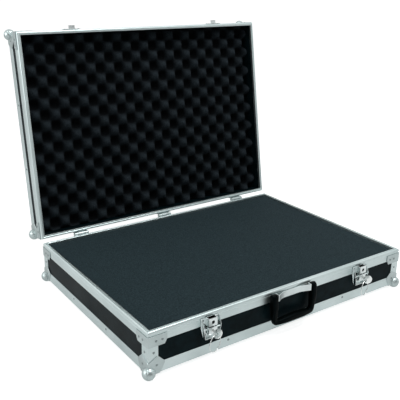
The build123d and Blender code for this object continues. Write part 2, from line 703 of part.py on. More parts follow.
def assembly():
    hinge_z = HINGE_AXIS[1]
    floor = METAL + PLY
    base_places = hinge_places([hinge_z - z for z in HINGE_RIVET_Z]) + latch_places() + handle_places()
    lid_places = hinge_places([LID_HEIGHT + RIM_GAP - z for z in HINGE_RIVET_Z])
    lid_places += keeper_places(LID_HEIGHT - sum(KEEPER_BAND) / 2)
    base_foam = tray_foam(floor, BASE_HEIGHT - BASE_FOAM_DROP)
    base = tray(BASE_HEIGHT, False, BASE_BRACE_BAND, base_foam, base_places)
    lid = tray(LID_HEIGHT, True, LID_BRACE_BAND, crate_foam(), lid_places)
    base["bottom_panel"] = base.pop("outer_panel")
    lid["top_panel"] = lid.pop("outer_panel")
    nodes = {"base_" + name: shape for name, shape in base.items()}
    nodes.update({"lid_" + name: opened(lid_flipped(shape)) for name, shape in lid.items()})
    lid_leaves = lid_flipped(drilled(lid_flipped(three_hinges(hinge_leaf(True))), lid_places))
    nodes["hinge_base_leaves"] = drilled(three_hinges(hinge_leaf(False)), base_places)
    nodes["hinge_lid_leaves"] = opened(lid_leaves) + three_hinges(hinge_heel())
    nodes["hinge_pins"] = three_hinges(hinge_pin())
    nodes["latch_plates"] = drilled(pair(latch_plate(), LATCH_X), base_places)
    nodes["latch_covers"] = pair(latch_cover(), LATCH_X)
    keepers = lid_flipped(drilled(lid_flipped(pair(keeper(), LATCH_X)), lid_places))
    nodes["latch_keepers"] = opened(keepers)
    for side, x in (("left", -LATCH_X), ("right", LATCH_X)):
        nodes["latch_claw_" + side] = Pos(x, 0, 0) * latch_claw()
        nodes["latch_lever_" + side] = Pos(x, 0, 0) * latch_lever()
        nodes["lock_plug_" + side] = Pos(x, 0, 0) * lock_plug()
        nodes["key_" + side] = Pos(x, 0, 0) * key()
        nodes["key_ring_" + side] = Pos(x, 0, 0) * key_ring()
    nodes["handle_bracket"] = drilled(handle_bracket(), handle_places())
    nodes["handle_grip"] = handle_grip()
    return nodes


os.makedirs("parts", exist_ok=True)
NODES = assembly()
WHOLE = Compound([piece for piece in NODES.values()]).bounding_box()
HOME = Pos(-WHOLE.center().X, -WHOLE.center().Y, -WHOLE.min.Z)
for node, piece in NODES.items():
    export_step(HOME * piece, "parts/" + node + ".step")
print("case frame moved by", HOME.position)
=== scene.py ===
import bmesh
import bpy
from math import cos, pi, radians, sin, tan
from mathutils import Matrix, Vector


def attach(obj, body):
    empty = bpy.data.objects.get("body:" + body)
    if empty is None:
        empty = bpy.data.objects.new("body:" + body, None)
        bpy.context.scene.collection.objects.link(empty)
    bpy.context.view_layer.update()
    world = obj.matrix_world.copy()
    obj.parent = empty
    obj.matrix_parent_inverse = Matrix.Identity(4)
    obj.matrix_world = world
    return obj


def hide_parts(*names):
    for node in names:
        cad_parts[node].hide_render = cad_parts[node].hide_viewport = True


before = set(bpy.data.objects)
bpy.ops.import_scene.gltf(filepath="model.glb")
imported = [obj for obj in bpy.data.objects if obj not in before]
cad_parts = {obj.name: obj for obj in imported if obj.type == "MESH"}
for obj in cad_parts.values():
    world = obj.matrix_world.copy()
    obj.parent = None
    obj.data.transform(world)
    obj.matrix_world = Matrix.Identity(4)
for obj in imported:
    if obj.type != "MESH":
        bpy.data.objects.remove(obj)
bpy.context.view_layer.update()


# Camera
# Stands to the left of the front, a little above the open lid's middle, and looks down into the case.

camera_lens = bpy.data.cameras.new("case_camera")
camera_lens.sensor_width = 36.0
camera_lens.sensor_fit = "HORIZONTAL"
camera_lens.lens = 57.705
camera_lens.shift_x = 0.03035
camera_lens.shift_y = -0.04908
camera_lens.clip_start = 0.05
case_camera = bpy.data.objects.new("case_camera", camera_lens)
bpy.context.collection.objects.link(case_camera)
right = Vector((0.82809, -0.56052, 0.00885))
up = Vector((0.16264, 0.25532, 0.95308))
back = Vector((-0.53648, -0.78780, 0.30259))
stand = Matrix((right, up, back)).transposed().to_4x4()
stand.translation = Vector((-0.85555, -1.17443, 0.70660))
case_camera.matrix_world = stand
bpy.context.scene.camera = case_camera
bpy.context.scene.view_settings.view_transform = "Standard"


# Studio
# A white surround that also shows in metal, darker there towards the front, a soft lamp above the front
# and a weaker one at the left, and a white floor that keeps a pale shadow of the case.

def joined(tree, operation, first, second):
    """A math node on two values, each an output or a number."""
    sum_node = tree.nodes.new("ShaderNodeMath")
    sum_node.operation = operation
    for socket, value in zip(sum_node.inputs, (first, second)):
        if isinstance(value, float):
            socket.default_value = value
        else:
            tree.links.new(value, socket)
    return sum_node.outputs[0]


surround_level = 0.34
surround = bpy.data.worlds.new("surround")
surround.use_nodes = True
tree = surround.node_tree
surround_light = tree.nodes["Background"]
surround_light.inputs["Color"].default_value = (1.0, 1.0, 1.0, 1.0)
path = tree.nodes.new("ShaderNodeLightPath")
heading = tree.nodes.new("ShaderNodeTexCoord")
toward_front = tree.nodes.new("ShaderNodeVectorMath")
toward_front.operation = "DOT_PRODUCT"
toward_front.inputs[1].default_value = (-0.15, -0.97, 0.15)
tree.links.new(heading.outputs["Generated"], toward_front.inputs[0])
dusk = tree.nodes.new("ShaderNodeMapRange")
dusk.interpolation_type = "SMOOTHSTEP"
dusk.inputs["From Min"].default_value = 0.5
dusk.inputs["From Max"].default_value = 0.9
dusk.inputs["To Min"].default_value = 1.0
dusk.inputs["To Max"].default_value = 0.3
tree.links.new(toward_front.outputs["Value"], dusk.inputs["Value"])
mirrored_light = joined(tree, "MULTIPLY", path.outputs["Is Glossy Ray"], dusk.outputs["Result"])
plainly_seen = joined(tree, "MAXIMUM", path.outputs["Is Camera Ray"], path.outputs["Is Transmission Ray"])
direct = joined(tree, "MAXIMUM", plainly_seen, mirrored_light)
tree.links.new(joined(tree, "MAXIMUM", direct, surround_level), surround_light.inputs["Strength"])
bpy.context.scene.world = surround


def soft_lamp(name, place, aim, size, power):
    lamp = bpy.data.lights.new(name, "AREA")
    lamp.shape = "SQUARE"
    lamp.size = size
    lamp.energy = power
    holder = bpy.data.objects.new(name, lamp)
    bpy.context.collection.objects.link(holder)
    holder.location = place
    holder.rotation_euler = (Vector(aim) - Vector(place)).to_track_quat("-Z", "Y").to_euler()


soft_lamp("lamp_above", (0.35, -0.75, 2.3), (0.0, 0.0, 0.2), 1.1, 27.0)
soft_lamp("lamp_left", (-2.2, 0.5, 1.0), (0.0, 0.0, 0.2), 1.2, 12.0)

floor_seen, floor_mirrored = 0.8, 0.35
floor_shape = bmesh.new()
bmesh.ops.create_grid(floor_shape, x_segments=1, y_segments=1, size=20.0)
floor_mesh = bpy.data.meshes.new("floor")
floor_shape.to_mesh(floor_mesh)
floor_shape.free()
floor = bpy.data.objects.new("floor", floor_mesh)
bpy.context.collection.objects.link(floor)
floor_paint = bpy.data.materials.new("floor_paint")
floor_paint.use_nodes = True
tree = floor_paint.node_tree
plain_floor = tree.nodes["Principled BSDF"]
plain_floor.inputs["Base Color"].default_value = (0.62, 0.62, 0.62, 1.0)
plain_floor.inputs["Roughness"].default_value = 0.9
floor_glow = tree.nodes.new("ShaderNodeEmission")
path = tree.nodes.new("ShaderNodeLightPath")
mirrored_glow = joined(tree, "MULTIPLY", path.outputs["Is Glossy Ray"], floor_mirrored)
seen_glow = joined(tree, "MULTIPLY", path.outputs["Is Camera Ray"], floor_seen)
tree.links.new(joined(tree, "MAXIMUM", seen_glow, mirrored_glow), floor_glow.inputs["Strength"])
floor_sum = tree.nodes.new("ShaderNodeAddShader")
tree.links.new(plain_floor.outputs[0], floor_sum.inputs[0])
tree.links.new(floor_glow.outputs[0], floor_sum.inputs[1])
tree.links.new(floor_sum.outputs[0], tree.nodes["Material Output"].inputs["Surface"])
floor_mesh.materials.append(floor_paint)


# Panels
# Five plywood panels to a tray, faced with black laminate that has a fine leathery print.
# The cut panels are right as they are, and only get their finish.

def finish(name, colour, roughness, metallic=0.0):
    """A material with one colour and roughness, for patterns to build on."""
    material = bpy.data.materials.new(name)
    material.use_nodes = True
    shader = material.node_tree.nodes["Principled BSDF"]
    shader.inputs["Base Color"].default_value = (*colour, 1.0)
    shader.inputs["Roughness"].default_value = roughness
    shader.inputs["Metallic"].default_value = metallic
    return material


def grain(material, scale, stretch=(1.0, 1.0, 1.0), turn=0.0, detail=4.0):
    """Noise on the piece's own coordinates, drawn out along an axis where stretch is small."""
    tree = material.node_tree
    place = tree.nodes.new("ShaderNodeTexCoord")
    turned = tree.nodes.new("ShaderNodeMapping")
    turned.inputs["Rotation"].default_value = (turn, 0.0, 0.0)
    drawn = tree.nodes.new("ShaderNodeMapping")
    drawn.inputs["Scale"].default_value = stretch
    noise = tree.nodes.new("ShaderNodeTexNoise")
    noise.inputs["Scale"].default_value = scale
    noise.inputs["Detail"].default_value = detail
    tree.links.new(place.outputs["Object"], turned.inputs["Vector"])
    tree.links.new(turned.outputs["Vector"], drawn.inputs["Vector"])
    tree.links.new(drawn.outputs["Vector"], noise.inputs["Vector"])
    return noise.outputs["Fac"]


def tint(material, source, dark, light, low=0.3, high=0.7):
    """Lets a pattern move the colour between two values."""
    tree = material.node_tree
    ramp = tree.nodes.new("ShaderNodeValToRGB")
    ramp.color_ramp.elements[0].position = low
    ramp.color_ramp.elements[0].color = (*dark, 1.0)
    ramp.color_ramp.elements[1].position = high
    ramp.color_ramp.elements[1].color = (*light, 1.0)
    tree.links.new(source, ramp.inputs["Fac"])
    tree.links.new(ramp.outputs["Color"], tree.nodes["Principled BSDF"].inputs["Base Color"])


def shine(material, source, low, high):
    """Lets a pattern move the roughness between two values."""
    tree = material.node_tree
    band = tree.nodes.new("ShaderNodeMapRange")
    band.inputs["From Min"].default_value = 0.3
    band.inputs["From Max"].default_value = 0.7
    band.inputs["To Min"].default_value = low
    band.inputs["To Max"].default_value = high
    tree.links.new(source, band.inputs["Value"])
    tree.links.new(band.outputs["Result"], tree.nodes["Principled BSDF"].inputs["Roughness"])


def relief(material, source, depth, strength=1.0):
    """Raises the surface by a pattern; depth is in metres."""
    tree = material.node_tree
    bump = tree.nodes.new("ShaderNodeBump")
    bump.inputs["Strength"].default_value = strength
    bump.inputs["Distance"].default_value = depth
    tree.links.new(source, bump.inputs["Height"])
    tree.links.new(bump.outputs["Normal"], tree.nodes["Principled BSDF"].inputs["Normal"])


black_laminate = finish("black_laminate", (0.004, 0.006, 0.007), 0.36)
sheen = black_laminate.node_tree.nodes["Principled BSDF"]
sheen.inputs["Specular IOR Level"].default_value = 0.05
sheen.inputs["Specular Tint"].default_value = (0.70, 0.97, 1.0, 1.0)
tint(black_laminate, grain(black_laminate, 55.0), (0.001, 0.004, 0.005), (0.004, 0.012, 0.015))
shine(black_laminate, grain(black_laminate, 14.0), 0.30, 0.42)
relief(black_laminate, grain(black_laminate, 700.0, detail=3.0), 0.0002, 0.6)
for tray_name, outer in (("base", "bottom"), ("lid", "top")):
    for side in (outer, "front", "back", "left", "right"):
        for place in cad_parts[tray_name + "_" + side + "_panel"].material_slots:
            place.material = black_laminate


# Edge angles
# Extruded aluminium angle with 22 mm legs, satin, mitred at the corners and riveted over the panel edges.
# The base stands on its outer face; the lid is the same tray drawn upside down, then closed and opened.

width, depth = 690.0, 488.0
base_height, lid_height = 89.0, 61.0
shut_height = base_height + lid_height + 0.4
metal, leg = 1.3, 22.0
opening = radians(99.0)
outer_round, edge_soft = 1.2, 0.25
home = (0.0, -0.301585, 0.0094)
case_place = Matrix.Translation(home) @ Matrix.Scale(0.001, 4)
hinge_back = 493.5
hinge_line = Vector((0.0, hinge_back, base_height))
from_hinge, to_hinge = Matrix.Translation(hinge_line), Matrix.Translation(-hinge_line)
swung_open = from_hinge @ Matrix.Rotation(-opening, 4, "X") @ to_hinge
upside_down = Matrix.Translation((0.0, 0.0, shut_height)) @ Matrix.Diagonal((1.0, 1.0, -1.0, 1.0))
lid_place = case_place @ swung_open @ upside_down
around = [
    Matrix.Identity(4),
    Matrix.Translation((width / 2, depth / 2, 0.0)) @ Matrix.Rotation(pi / 2, 4, "Z"),
    Matrix.Translation((0.0, depth, 0.0)) @ Matrix.Rotation(pi, 4, "Z"),
    Matrix.Translation((-width / 2, depth / 2, 0.0)) @ Matrix.Rotation(-pi / 2, 4, "Z"),
]


def gathered(*parts):
    """One shape made of several, each with the places where it stands."""
    whole = bmesh.new()
    for part, places in parts:
        mesh = bpy.data.meshes.new("part")
        part.to_mesh(mesh)
        part.free()
        for place in places:
            start = len(whole.verts)
            whole.from_mesh(mesh)
            whole.verts.ensure_lookup_table()
            bmesh.ops.transform(whole, matrix=place, verts=whole.verts[start:])
        bpy.data.meshes.remove(mesh)
    return whole


def rounded(shape, edges, radius, segments=2):
    """Rounds edges by a radius."""
    bmesh.ops.bevel(
        shape, geom=edges, offset=radius, segments=segments, profile=0.5,
        affect="EDGES", material=-1, clamp_overlap=True,
    )


def sharp(shape, least=30.0):
    """The edges where two faces meet at more than an angle."""
    return [edge for edge in shape.edges if edge.is_manifold and edge.calc_face_angle(0.0) > radians(least)]


def carried(shape, faces, path=(0.0, 0.0, 0.0)):
    """Draws faces out along a path, and gives back the points at its end."""
    grown = bmesh.ops.extrude_face_region(shape, geom=faces)["geom"]
    carried_points = [part for part in grown if isinstance(part, bmesh.types.BMVert)]
    bmesh.ops.translate(shape, vec=path, verts=carried_points)
    return carried_points


def closed(shape):
    """Fills the openings of a shape."""
    bmesh.ops.holes_fill(shape, edges=[edge for edge in shape.edges if edge.is_boundary])


def cut_off(shape, point, normal):
    """Cuts away what lies on the normal's side of a plane, and closes the cut."""
    everything = shape.verts[:] + shape.edges[:] + shape.faces[:]
    bmesh.ops.bisect_plane(shape, geom=everything, plane_co=point, plane_no=normal, clear_outer=True)
    closed(shape)


def fitted(name, shape, place, finishes, body, nodes):
    """Moves a shape to its place and hands it over as a piece that stands for its CAD nodes."""
    bmesh.ops.transform(shape, matrix=place, verts=shape.verts)
    bmesh.ops.recalc_face_normals(shape, faces=shape.faces)
    mesh = bpy.data.meshes.new(name)
    shape.to_mesh(mesh)
    shape.free()
    for material in finishes:
        mesh.materials.append(material)
    mesh.shade_smooth()
    mesh.set_sharp_from_angle(angle=radians(40.0))
    piece = bpy.data.objects.new(name, mesh)
    bpy.context.collection.objects.link(piece)
    evened = piece.modifiers.new("even_shading", "WEIGHTED_NORMAL")
    evened.keep_sharp = True
    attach(piece, body)
    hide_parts(*nodes)
    return piece


def mitred_bar(outline, length, finish_index):
    """A bar along the front edge, from (inward, up) points, with both ends cut at 45 degrees."""
    bar = bmesh.new()
    end = bar.faces.new([bar.verts.new((inward - length / 2, inward, height)) for inward, height in outline])
    for vert in carried(bar, [end]):
        vert.co.x = length / 2 - vert.co.y
    bmesh.ops.recalc_face_normals(bar, faces=bar.faces)
    for face in bar.faces:
        face.material_index = finish_index
    return bar


def along_bar(shape):
    """The sharp edges that run the length of a bar."""
    return [edge for edge in sharp(shape) if abs((edge.verts[0].co - edge.verts[1].co).normalized().x) > 0.99]


def edging_finish(name, stretch, turn):
    """Satin aluminium with drawing lines along the bar, and clouds of handling."""
    material = finish(name, (0.60, 0.70, 0.70), 0.38, 1.0)
    tint(material, grain(material, 9.0), (0.52, 0.61, 0.61), (0.64, 0.73, 0.73))
    shine(material, grain(material, 1.0, stretch, turn), 0.30, 0.46)
    relief(material, grain(material, 1.0, stretch, turn, 2.0), 0.00008, 0.5)
    return material


edging_across = edging_finish("edging_across", (9.0, 1600.0, 1600.0), 0.0)
edging_deep = edging_finish("edging_deep", (1600.0, 9.0, 1600.0), 0.0)
edging_upright = edging_finish("edging_upright", (1600.0, 1600.0, 9.0), 0.0)
edging_lid_deep = edging_finish("edging_lid_deep", (1600.0, 9.0, 1600.0), opening)
edging_lid_upright = edging_finish("edging_lid_upright", (1600.0, 1600.0, 9.0), opening)

angle_outline = [(0.0, 0.0), (leg, 0.0), (leg, metal), (metal, metal), (metal, leg), (0.0, leg)]
for tray_name, place, deep in (("base", case_place, edging_deep), ("lid", lid_place, edging_lid_deep)):
    long_bar = mitred_bar(angle_outline, width, 0)
    short_bar = mitred_bar(angle_outline, depth, 1)
    for bar in (long_bar, short_bar):
        long_edges = along_bar(bar)
        outer_corner = [e for e in long_edges if abs(e.verts[0].co.y) + abs(e.verts[0].co.z) < 0.01]
        rounded(bar, outer_corner, outer_round, 3)
        rounded(bar, along_bar(bar), edge_soft, 1)
    angles = gathered((long_bar, around[0::2]), (short_bar, around[1::2]))
    nodes = [tray_name + "_" + side + "_edge_angle" for side in ("front", "back", "left", "right")]
    fitted(tray_name + "_edge_angles", angles, place, [edging_across, deep], tray_name, nodes)


# Rims
# Extruded rim with a 24 mm flange over the panels. The base rim has a groove in its head,
# and the lid rim a tongue that drops into it, which keeps dust out of the shut case.

flange = 23.8
head_inward, head_drop = 3.0, 5.0
groove_middle = 4.5


def rim_outline(height, tongue):
    """The rim's section as (inward, up) points: its flange, rounded head, and groove or tongue."""
    turns = [radians(15.0 * step) for step in range(7)]
    head = [
        (head_inward - head_inward * cos(turn), height - head_drop + head_drop * sin(turn)) for turn in turns
    ]
    half = [(1.45, 0.0), (1.2, -0.35), (0.95, -1.0), (0.55, -1.6)]
    bottom = -1.75
    if tongue:
        half = [(0.7, 0.0), (0.6, 0.8), (0.35, 1.2)]
        bottom = 1.25
    middle = [(groove_middle - x, height + z) for x, z in half] + [(groove_middle, height + bottom)]
    middle += [(groove_middle + x, height + z) for x, z in reversed(half)]
    return [
        (0.4, height - flange), (0.4, height - 8.6), (0.9, height - 8.1), (0.9, height - 7.0),
        (0.0, height - 6.4),
        *head, *middle,
        (8.1, height), (8.6, height - 0.5), (8.6, height - 8.0), (7.8, height - 8.0), (7.8, height - 4.0),
        (metal, height - 4.0), (metal, height - flange),
    ]


trays = (
    ("base", case_place, edging_deep, base_height, False),
    ("lid", lid_place, edging_lid_deep, lid_height, True),
)
for tray_name, place, deep, height, tongue in trays:
    bars = []
    for index, length in enumerate((width, depth)):
        bar = mitred_bar(rim_outline(height, tongue), length, index)
        rounded(bar, along_bar(bar), edge_soft, 1)
        bars.append(bar)
    rims = gathered((bars[0], around[0::2]), (bars[1], around[1::2]))
    nodes = [tray_name + "_" + side + "_rim" for side in ("front", "back", "left", "right")]
    fitted(tray_name + "_rims", rims, place, [edging_across, deep], tray_name, nodes)


# Uprights
# Short lengths of the same angle that stand in the corners between the edge angles and the rim.

corners = [
    Matrix.Translation((x, y, 0.0)) @ Matrix.Rotation(pi / 2 * turn, 4, "Z")
    for turn, (x, y) in enumerate(
        [(-width / 2, 0.0), (width / 2, 0.0), (width / 2, depth), (-width / 2, depth)]
    )
]
trays = (
    ("base", case_place, edging_upright, base_height),
    ("lid", lid_place, edging_lid_upright, lid_height),
)
for tray_name, place, upright_finish, height in trays:
    upright = bmesh.new()
    plan = upright.faces.new([upright.verts.new((x, y, leg)) for x, y in angle_outline])
    carried(upright, [plan], (0.0, 0.0, height - flange - leg))
    bmesh.ops.recalc_face_normals(upright, faces=upright.faces)
    outer_corner = [e for e in upright.edges if all(abs(v.co.x) + abs(v.co.y) < 0.01 for v in e.verts)]
    rounded(upright, outer_corner, outer_round, 3)
    name = tray_name + "_uprights"
    fitted(name, gathered((upright, corners)), place, [upright_finish], tray_name, [name])


# Ball corners
# Pressed steel, bright zinc plate: a ball of three lobes over the point of the case,
# and three petals that lie on the faces, each held by a rivet.

def zinc_finish(name, colour, low, high):
    """Plated metal, a little clouded, with its roughness between two values."""
    material = finish(name, colour, (low + high) / 2, 1.0)
    darker = tuple(value * 0.86 for value in colour)
    tint(material, grain(material, 38.0), darker, colour)
    shine(material, grain(material, 60.0), low, high)
    relief(material, grain(material, 420.0, detail=2.0), 0.00006, 0.4)
    return material


zinc_plate = zinc_finish("zinc_plate", (0.51, 0.59, 0.59), 0.28, 0.46)
skin = 1.2
ball_radius, ball_inward, foot_drop = 13.0, 3.0, 9.4
seam_half, seam_depth = 1.1, 0.055
tip_round = 3.0
swap_yz = Matrix(((1, 0, 0, 0), (0, 0, 1, 0), (0, 1, 0, 0), (0, 0, 0, 1)))
swap_xz = Matrix(((0, 0, 1, 0), (0, 1, 0, 0), (1, 0, 0, 0), (0, 0, 0, 1)))

for tray_name, place in (("base", case_place), ("lid", lid_place)):
    petal = bmesh.new()
    petal_points = [(-0.6, -0.6), (25.5, -0.6), (37.0, 20.5), (20.5, 37.0), (-0.6, 25.5)]
    plan = petal.faces.new([petal.verts.new((x, y, 0.0)) for x, y in petal_points])
    carried(petal, [plan], (0.0, 0.0, -skin))
    bmesh.ops.recalc_face_normals(petal, faces=petal.faces)
    standing = [e for e in petal.edges if abs(e.verts[0].co.z - e.verts[1].co.z) > 1]
    rounded(petal, [e for e in standing if e.verts[0].co.x + e.verts[0].co.y > 50], tip_round, 5)
    rounded(petal, [e for e in sharp(petal, 60.0) if all(v.co.z < -1 for v in e.verts)], 0.6, 3)

    ball = bmesh.new()
    bmesh.ops.create_uvsphere(ball, u_segments=72, v_segments=36, radius=ball_radius)
    toward_point = Vector((0.0, 0.0, 1.0)).rotation_difference(Vector((-1.0, -1.0, -1.0)))
    bmesh.ops.transform(ball, matrix=toward_point.to_matrix().to_4x4(), verts=ball.verts)
    for vert in ball.verts:
        x, y, z = vert.co
        seam = min(abs(x - y) if z > -9 else 9, abs(y - z) if x > -9 else 9, abs(x - z) if y > -9 else 9)
        vert.co *= 1.0 - seam_depth * max(0.0, 1.0 - seam / seam_half)
    bmesh.ops.translate(ball, vec=(ball_inward, ball_inward, ball_inward), verts=ball.verts)
    cut_off(ball, (0.0, 0.0, -foot_drop), (0.0, 0.0, -1.0))
    for vert in ball.verts:
        nearest = min(range(3), key=lambda axis: vert.co[axis])
        if vert.co[nearest] > 0.0:
            vert.co[nearest] = 0.0
    corner = gathered(
        (petal, [Matrix.Identity(4), swap_yz, swap_xz]),
        (ball, [Matrix.Identity(4)]),
    )
    name = tray_name + "_ball_corners"
    fitted(name, gathered((corner, corners)), place, [zinc_plate], tray_name, [name])


# Rim braces
# Pressed steel angle round each corner under the rim, with its lower ends clipped.

brace_reach, brace_clip, bend_round = 41.0, 36.0, 1.1
base_band, lid_band = (9.5, 31.5), (8.0, 23.5)
trays = (("base", case_place, base_height, base_band), ("lid", lid_place, lid_height, lid_band))
for tray_name, place, height, band in trays:
    low, high = height - band[1], height - band[0]
    brace = bmesh.new()
    plan_points = [
        (-skin, -skin), (brace_reach, -skin), (brace_reach, 0.0),
        (0.0, 0.0), (0.0, brace_reach), (-skin, brace_reach),
    ]
    plan = brace.faces.new([brace.verts.new((x, y, low)) for x, y in plan_points])
    carried(brace, [plan], (0.0, 0.0, high - low))
    cut_off(brace, (brace_clip, 0.0, low), (2.0, 0.0, -1.0))
    cut_off(brace, (0.0, brace_clip, low), (0.0, 2.0, -1.0))
    bmesh.ops.recalc_face_normals(brace, faces=brace.faces)
    bend = [e for e in brace.edges if all(abs(v.co.x + skin) + abs(v.co.y + skin) < 0.01 for v in e.verts)]
    rounded(brace, bend, bend_round, 3)
    rounded(brace, sharp(brace, 40.0), 0.3, 1)
    name = tray_name + "_rim_braces"
    fitted(name, gathered((brace, corners)), place, [zinc_plate], tray_name, [name])


# Rivets
# Domed aluminium rivets, duller than what they hold: through the edging, the ball corners, the braces,
# the hinge leaves, the latches, the keepers and the handle's strap.

rivet_metal = zinc_finish("rivet_metal", (0.29, 0.34, 0.34), 0.35, 0.55)
rivet_radius, rivet_flatness = 2.6, 0.42
long_row, short_row = (-161.0, 0.0, 161.0), (-77.0, 77.0)
angle_row_height = 15.0
petal_rivet = 18.0
brace_rivets = (17.0, 30.5)
upright_rivet_in, upright_rivet_height = 12.3, 44.9


def on_side(side, along, height, lift):
    """A place on one side of a tray, from the middle of that side, with up turned outward."""
    spot = Matrix.Translation((along, -lift, height)) @ Matrix.Rotation(pi / 2, 4, "X")
    return around[side] @ spot


def tray_spots(height, band):
    """Where the rivets of a tray's edging, ball corners and braces stand."""
    spots = []
    for side in range(4):
        edge = (width if side % 2 == 0 else depth) / 2
        middles = long_row if side % 2 == 0 else short_row
        spots += [on_side(side, along, angle_row_height, 0.0) for along in middles]
        for hand in (-1, 1):
            spots.append(on_side(side, hand * (edge - petal_rivet), petal_rivet, skin))
            brace_height = height - sum(band) / 2
            spots += [on_side(side, hand * (edge - along), brace_height, skin) for along in brace_rivets]
            if height == base_height:
                spots.append(on_side(side, hand * (edge - upright_rivet_in), upright_rivet_height, 0.0))
    return spots


leaf_metal = 2.1
hinge_middles = (-243.0, 0.0, 243.0)
hinge_spots = [
    (hinge + across, lift) for hinge in hinge_middles for across in (-12.0, 12.0) for lift in (14.0, 26.0)
]
latch_metal = 1.2
latch_middles = (-208.0, 208.0)
base_spots = tray_spots(base_height, base_band)
base_spots += [on_side(2, along, base_height - lift, leaf_metal) for along, lift in hinge_spots]
base_spots += [
    on_side(0, latch + x, z, latch_metal)
    for latch in latch_middles
    for x, z in ((-16.6, 77.0), (16.6, 77.0), (-11.0, 45.0), (11.0, 45.0))
]
base_spots += [on_side(0, x, 74.8, 1.1) for x in (-14.0, 14.0)]
lid_spots = tray_spots(lid_height, lid_band)
lid_spots += [on_side(2, along, shut_height - base_height - lift, leaf_metal) for along, lift in hinge_spots]
lid_spots += [on_side(0, latch + x, 54.0, latch_metal) for latch in latch_middles for x in (-18.5, 18.5)]
for tray_name, place, spots in (("base", case_place, base_spots), ("lid", lid_place, lid_spots)):
    rivet = bmesh.new()
    bmesh.ops.create_uvsphere(rivet, u_segments=16, v_segments=12, radius=rivet_radius)
    cut_off(rivet, (0.0, 0.0, 0.05), (0.0, 0.0, -1.0))
    bmesh.ops.scale(rivet, vec=(1.0, 1.0, rivet_flatness), verts=rivet.verts)
    name = tray_name + "_rivets"
    fitted(name, gathered((rivet, spots)), place, [rivet_metal], tray_name, [name])


# Base foam
# A block of open-cell foam that fills the tray to just under the rim. Its skin is flat, with soft edges.

base_foam_finish = finish("base_foam_cells", (0.021, 0.031, 0.036), 0.95)
base_foam_finish.node_tree.nodes["Principled BSDF"].inputs["Specular IOR Level"].default_value = 0.2
cells = grain(base_foam_finish, 420.0, detail=6.0)
tint(base_foam_finish, cells, (0.006, 0.014, 0.017), (0.024, 0.045, 0.053))
relief(base_foam_finish, grain(base_foam_finish, 520.0, detail=5.0), 0.0012, 0.8)

foam_size = (671.2, 469.2, 1.0)
block_top, block_height = 84.5, 76.7
block_round = 1.8
block = bmesh.new()
bmesh.ops.create_grid(block, x_segments=96, y_segments=68, size=0.5)
bmesh.ops.scale(block, vec=foam_size, verts=block.verts)
skirt = bmesh.ops.extrude_edge_only(block, edges=[e for e in block.edges if e.is_boundary])["geom"]
dropped = [v for v in skirt if isinstance(v, bmesh.types.BMVert)]
bmesh.ops.translate(block, vec=(0.0, 0.0, -block_height), verts=dropped)
closed(block)
bmesh.ops.translate(block, vec=(0.0, depth / 2, block_top), verts=block.verts)
for vert in block.verts:
    x, y, z = vert.co
    if z > 80.0:
        vert.co.z -= 0.25 + 0.25 * sin(x * 0.031 + 1.0) * cos(y * 0.043)
top_edge = [e for e in sharp(block, 60.0) if all(v.co.z > 80.0 for v in e.verts)]
rounded(block, top_edge, block_round, 3)
foam = fitted("base_foam_block", block, case_place, [base_foam_finish], "base", ["base_foam"])


# Lid foam
# A slab of charcoal open-cell foam cut to an egg-crate face: rounded peaks in staggered rows. Painted shade
# darkens its colour towards the bottoms of the pits.

lid_foam_finish = finish("lid_foam_cells", (0.010, 0.014, 0.017), 0.95)
tree = lid_foam_finish.node_tree
tree.nodes["Principled BSDF"].inputs["Specular IOR Level"].default_value = 0.06
tint(lid_foam_finish, grain(lid_foam_finish, 420.0, detail=6.0), (0.008, 0.012, 0.015), (0.026, 0.035, 0.042))
# Painted shade: each point's depth in the pits scales the colour, from full at the peaks down to an eighth at
# the bottom.
hollow = tree.nodes.new("ShaderNodeAttribute")
hollow.attribute_name = "hollow"
painted_pit_shade = tree.nodes.new("ShaderNodeMapRange")
painted_pit_shade.inputs["From Min"].default_value = 0.16
painted_pit_shade.inputs["From Max"].default_value = 0.68
painted_pit_shade.inputs["To Min"].default_value = 1.0
painted_pit_shade.inputs["To Max"].default_value = 0.12
tree.links.new(hollow.outputs["Fac"], painted_pit_shade.inputs["Value"])
pit_shaded_colour = tree.nodes.new("ShaderNodeVectorMath")
pit_shaded_colour.operation = "SCALE"
tree.links.new(tree.nodes["Color Ramp"].outputs["Color"], pit_shaded_colour.inputs[0])
tree.links.new(painted_pit_shade.outputs["Result"], pit_shaded_colour.inputs["Scale"])
tree.links.new(pit_shaded_colour.outputs["Vector"], tree.nodes["Principled BSDF"].inputs["Base Color"])
relief(lid_foam_finish, grain(lid_foam_finish, 520.0, detail=5.0), 0.0012, 0.8)

slab_back, peak_height, pit_depth = 7.8, 39.8, 26.0
first_peak = (-235.7, 225.1)
peak_across, peak_along = 25.94, 26.44
peak_bluntness = 0.82
askew = radians(1.55)
slab = bmesh.new()
bmesh.ops.create_grid(slab, x_segments=252, y_segments=176, size=0.5)
bmesh.ops.scale(slab, vec=foam_size, verts=slab.verts)
bmesh.ops.translate(slab, vec=(0.0, depth / 2, 0.0), verts=slab.verts)
